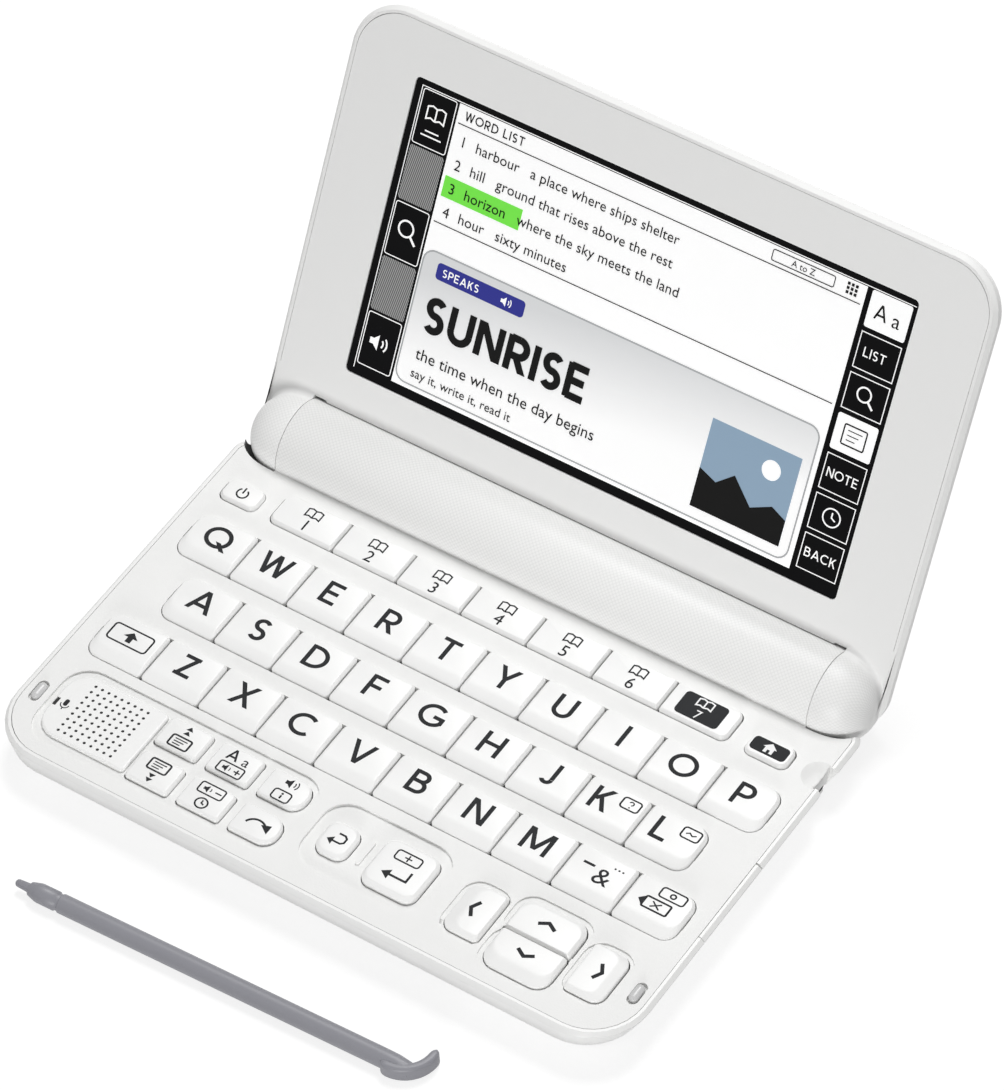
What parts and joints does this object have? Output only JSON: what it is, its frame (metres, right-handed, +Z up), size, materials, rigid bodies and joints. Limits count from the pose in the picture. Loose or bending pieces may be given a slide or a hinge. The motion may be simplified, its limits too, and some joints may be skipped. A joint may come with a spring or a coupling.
{
  "type": "electronic dictionary",
  "caption": "Folding clamshell electronic dictionary with letter keys, hinge barrel, tilting colour screen, sliding battery cover and a stylus with a curved tail.",
  "frame": {"origin": "on the floor plane under the feet, midway across the base, 52 mm from its front edge", "axes": "+X along the hinge to the user's right, +Y away from the user towards the hinge, +Z up from the feet; the lid is open at rest"},
  "size_m": [0.148, 0.1691, 0.0916],
  "materials": {
    "case_white": "fine texture, satin",
    "frame_white": "satin",
    "key_white": "satin",
    "screen": "clear gloss over a black display",
    "display_back": "plain metal tray",
    "stylus_grey": "satin",
    "soft_rubber": "matte",
    "steel": "plain",
    "spring_steel": "nickel plated",
    "cell_sleeve": "plain sleeve",
    "circuit_board": "resin board",
    "speaker_black": "dark cone and frame"
  },
  "bodies": {
    "base": {"bottom_case": "case_white", "keyboard_deck": "case_white", "speaker_grille": "case_white", "barrel_cover": "case_white", "batteries": "cell_sleeve", "battery_contacts": "spring_steel", "main_board": "circuit_board", "port_sockets": "spring_steel", "key_rubber_sheet": "soft_rubber", "speaker": "speaker_black", "rubber_feet": "soft_rubber", "deck_bumpers": "soft_rubber", "case_screws": "steel", "hinge_pins": "steel"},
    "lid": {"lid_back_case": "case_white", "lid_bezel": "frame_white", "display_module": "display_back", "touch_panel": "screen"},
    "battery_cover": {"battery_cover": "case_white"},
    "port_cover": {"port_cover": "case_white"},
    "stylus": {"stylus": "stylus_grey"},
    "key_shift": {"key_shift": "key_white"},
    "key_z": {"key_z": "key_white"},
    "key_x": {"key_x": "key_white"},
    "key_c": {"key_c": "key_white"},
    "key_v": {"key_v": "key_white"},
    "key_b": {"key_b": "key_white"},
    "key_n": {"key_n": "key_white"},
    "key_m": {"key_m": "key_white"},
    "key_sign": {"key_sign": "key_white"},
    "key_delete": {"key_delete": "key_white"},
    "key_a": {"key_a": "key_white"},
    "key_s": {"key_s": "key_white"},
    "key_d": {"key_d": "key_white"},
    "key_f": {"key_f": "key_white"},
    "key_g": {"key_g": "key_white"},
    "key_h": {"key_h": "key_white"},
    "key_j": {"key_j": "key_white"},
    "key_k": {"key_k": "key_white"},
    "key_l": {"key_l": "key_white"},
    "key_q": {"key_q": "key_white"},
    "key_w": {"key_w": "key_white"},
    "key_e": {"key_e": "key_white"},
    "key_r": {"key_r": "key_white"},
    "key_t": {"key_t": "key_white"},
    "key_y": {"key_y": "key_white"},
    "key_u": {"key_u": "key_white"},
    "key_i": {"key_i": "key_white"},
    "key_o": {"key_o": "key_white"},
    "key_p": {"key_p": "key_white"},
    "key_power": {"key_power": "key_white"},
    "key_home": {"key_home": "key_white"},
    "key_back": {"key_back": "key_white"},
    "key_enter": {"key_enter": "key_white"},
    "key_left": {"key_left": "key_white"},
    "key_right": {"key_right": "key_white"},
    "key_up": {"key_up": "key_white"},
    "key_down": {"key_down": "key_white"},
    "dictionary_keys": {"dictionary_keys": "key_white"},
    "function_keys": {"function_keys": "key_white"}
  },
  "joints": [
    {"name": "lid_hinge", "type": "hinge", "parent": "base", "child": "lid", "pos_m": [0, 0.04275, 0.00975], "axis": [1, 0, 0], "range_deg": [-22, 119]},
    {"name": "battery_cover_slide", "type": "slide", "parent": "base", "child": "battery_cover", "axis": [0, 1, 0], "range_m": [0, 0.012]},
    {"name": "port_cover_hinge", "type": "hinge", "parent": "base", "child": "port_cover", "pos_m": [0.0742, -0.0203, 0.006], "axis": [0, 0, -1], "range_deg": [0, 100]},
    {"name": "stylus_lift", "type": "slide", "parent": "base", "child": "stylus", "axis": [0, 0, 1], "range_m": [0, 0.03]},
    {"name": "key_shift_press", "type": "slide", "parent": "base", "child": "key_shift", "axis": [0, 0, -1], "range_m": [0, 0.0005], "stiffness_N_per_m": 300, "springref_m": -0.0005},
    {"name": "key_z_press", "type": "slide", "parent": "base", "child": "key_z", "axis": [0, 0, -1], "range_m": [0, 0.0005], "stiffness_N_per_m": 300, "springref_m": -0.0005},
    {"name": "key_x_press", "type": "slide", "parent": "base", "child": "key_x", "axis": [0, 0, -1], "range_m": [0, 0.0005], "stiffness_N_per_m": 300, "springref_m": -0.0005},
    {"name": "key_c_press", "type": "slide", "parent": "base", "child": "key_c", "axis": [0, 0, -1], "range_m": [0, 0.0005], "stiffness_N_per_m": 300, "springref_m": -0.0005},
    {"name": "key_v_press", "type": "slide", "parent": "base", "child": "key_v", "axis": [0, 0, -1], "range_m": [0, 0.0005], "stiffness_N_per_m": 300, "springref_m": -0.0005},
    {"name": "key_b_press", "type": "slide", "parent": "base", "child": "key_b", "axis": [0, 0, -1], "range_m": [0, 0.0005], "stiffness_N_per_m": 300, "springref_m": -0.0005},
    {"name": "key_n_press", "type": "slide", "parent": "base", "child": "key_n", "axis": [0, 0, -1], "range_m": [0, 0.0005], "stiffness_N_per_m": 300, "springref_m": -0.0005},
    {"name": "key_m_press", "type": "slide", "parent": "base", "child": "key_m", "axis": [0, 0, -1], "range_m": [0, 0.0005], "stiffness_N_per_m": 300, "springref_m": -0.0005},
    {"name": "key_sign_press", "type": "slide", "parent": "base", "child": "key_sign", "axis": [0, 0, -1], "range_m": [0, 0.0005], "stiffness_N_per_m": 300, "springref_m": -0.0005},
    {"name": "key_delete_press", "type": "slide", "parent": "base", "child": "key_delete", "axis": [0, 0, -1], "range_m": [0, 0.0005], "stiffness_N_per_m": 300, "springref_m": -0.0005},
    {"name": "key_a_press", "type": "slide", "parent": "base", "child": "key_a", "axis": [0, 0, -1], "range_m": [0, 0.0005], "stiffness_N_per_m": 300, "springref_m": -0.0005},
    {"name": "key_s_press", "type": "slide", "parent": "base", "child": "key_s", "axis": [0, 0, -1], "range_m": [0, 0.0005], "stiffness_N_per_m": 300, "springref_m": -0.0005},
    {"name": "key_d_press", "type": "slide", "parent": "base", "child": "key_d", "axis": [0, 0, -1], "range_m": [0, 0.0005], "stiffness_N_per_m": 300, "springref_m": -0.0005},
    {"name": "key_f_press", "type": "slide", "parent": "base", "child": "key_f", "axis": [0, 0, -1], "range_m": [0, 0.0005], "stiffness_N_per_m": 300, "springref_m": -0.0005},
    {"name": "key_g_press", "type": "slide", "parent": "base", "child": "key_g", "axis": [0, 0, -1], "range_m": [0, 0.0005], "stiffness_N_per_m": 300, "springref_m": -0.0005},
    {"name": "key_h_press", "type": "slide", "parent": "base", "child": "key_h", "axis": [0, 0, -1], "range_m": [0, 0.0005], "stiffness_N_per_m": 300, "springref_m": -0.0005},
    {"name": "key_j_press", "type": "slide", "parent": "base", "child": "key_j", "axis": [0, 0, -1], "range_m": [0, 0.0005], "stiffness_N_per_m": 300, "springref_m": -0.0005},
    {"name": "key_k_press", "type": "slide", "parent": "base", "child": "key_k", "axis": [0, 0, -1], "range_m": [0, 0.0005], "stiffness_N_per_m": 300, "springref_m": -0.0005},
    {"name": "key_l_press", "type": "slide", "parent": "base", "child": "key_l", "axis": [0, 0, -1], "range_m": [0, 0.0005], "stiffness_N_per_m": 300, "springref_m": -0.0005},
    {"name": "key_q_press", "type": "slide", "parent": "base", "child": "key_q", "axis": [0, 0, -1], "range_m": [0, 0.0005], "stiffness_N_per_m": 300, "springref_m": -0.0005},
    {"name": "key_w_press", "type": "slide", "parent": "base", "child": "key_w", "axis": [0, 0, -1], "range_m": [0, 0.0005], "stiffness_N_per_m": 300, "springref_m": -0.0005},
    {"name": "key_e_press", "type": "slide", "parent": "base", "child": "key_e", "axis": [0, 0, -1], "range_m": [0, 0.0005], "stiffness_N_per_m": 300, "springref_m": -0.0005},
    {"name": "key_r_press", "type": "slide", "parent": "base", "child": "key_r", "axis": [0, 0, -1], "range_m": [0, 0.0005], "stiffness_N_per_m": 300, "springref_m": -0.0005},
    {"name": "key_t_press", "type": "slide", "parent": "base", "child": "key_t", "axis": [0, 0, -1], "range_m": [0, 0.0005], "stiffness_N_per_m": 300, "springref_m": -0.0005},
    {"name": "key_y_press", "type": "slide", "parent": "base", "child": "key_y", "axis": [0, 0, -1], "range_m": [0, 0.0005], "stiffness_N_per_m": 300, "springref_m": -0.0005},
    {"name": "key_u_press", "type": "slide", "parent": "base", "child": "key_u", "axis": [0, 0, -1], "range_m": [0, 0.0005], "stiffness_N_per_m": 300, "springref_m": -0.0005},
    {"name": "key_i_press", "type": "slide", "parent": "base", "child": "key_i", "axis": [0, 0, -1], "range_m": [0, 0.0005], "stiffness_N_per_m": 300, "springref_m": -0.0005},
    {"name": "key_o_press", "type": "slide", "parent": "base", "child": "key_o", "axis": [0, 0, -1], "range_m": [0, 0.0005], "stiffness_N_per_m": 300, "springref_m": -0.0005},
    {"name": "key_p_press", "type": "slide", "parent": "base", "child": "key_p", "axis": [0, 0, -1], "range_m": [0, 0.0005], "stiffness_N_per_m": 300, "springref_m": -0.0005},
    {"name": "key_power_press", "type": "slide", "parent": "base", "child": "key_power", "axis": [0, 0, -1], "range_m": [0, 0.0005], "stiffness_N_per_m": 300, "springref_m": -0.0005},
    {"name": "key_home_press", "type": "slide", "parent": "base", "child": "key_home", "axis": [0, 0, -1], "range_m": [0, 0.0005], "stiffness_N_per_m": 300, "springref_m": -0.0005},
    {"name": "key_back_press", "type": "slide", "parent": "base", "child": "key_back", "axis": [0, 0, -1], "range_m": [0, 0.0005], "stiffness_N_per_m": 300, "springref_m": -0.0005},
    {"name": "key_enter_press", "type": "slide", "parent": "base", "child": "key_enter", "axis": [0, 0, -1], "range_m": [0, 0.0005], "stiffness_N_per_m": 300, "springref_m": -0.0005},
    {"name": "key_left_press", "type": "slide", "parent": "base", "child": "key_left", "axis": [0, 0, -1], "range_m": [0, 0.0005], "stiffness_N_per_m": 300, "springref_m": -0.0005},
    {"name": "key_right_press", "type": "slide", "parent": "base", "child": "key_right", "axis": [0, 0, -1], "range_m": [0, 0.0005], "stiffness_N_per_m": 300, "springref_m": -0.0005},
    {"name": "key_up_press", "type": "slide", "parent": "base", "child": "key_up", "axis": [0, 0, -1], "range_m": [0, 0.0005], "stiffness_N_per_m": 300, "springref_m": -0.0005},
    {"name": "key_down_press", "type": "slide", "parent": "base", "child": "key_down", "axis": [0, 0, -1], "range_m": [0, 0.0005], "stiffness_N_per_m": 300, "springref_m": -0.0005},
    {"name": "dictionary_keys_press", "type": "slide", "parent": "base", "child": "dictionary_keys", "axis": [0, 0, -1], "range_m": [0, 0.0005], "stiffness_N_per_m": 300, "springref_m": -0.0005},
    {"name": "function_keys_press", "type": "slide", "parent": "base", "child": "function_keys", "axis": [0, 0, -1], "range_m": [0, 0.0005], "stiffness_N_per_m": 300, "springref_m": -0.0005}
  ]
}
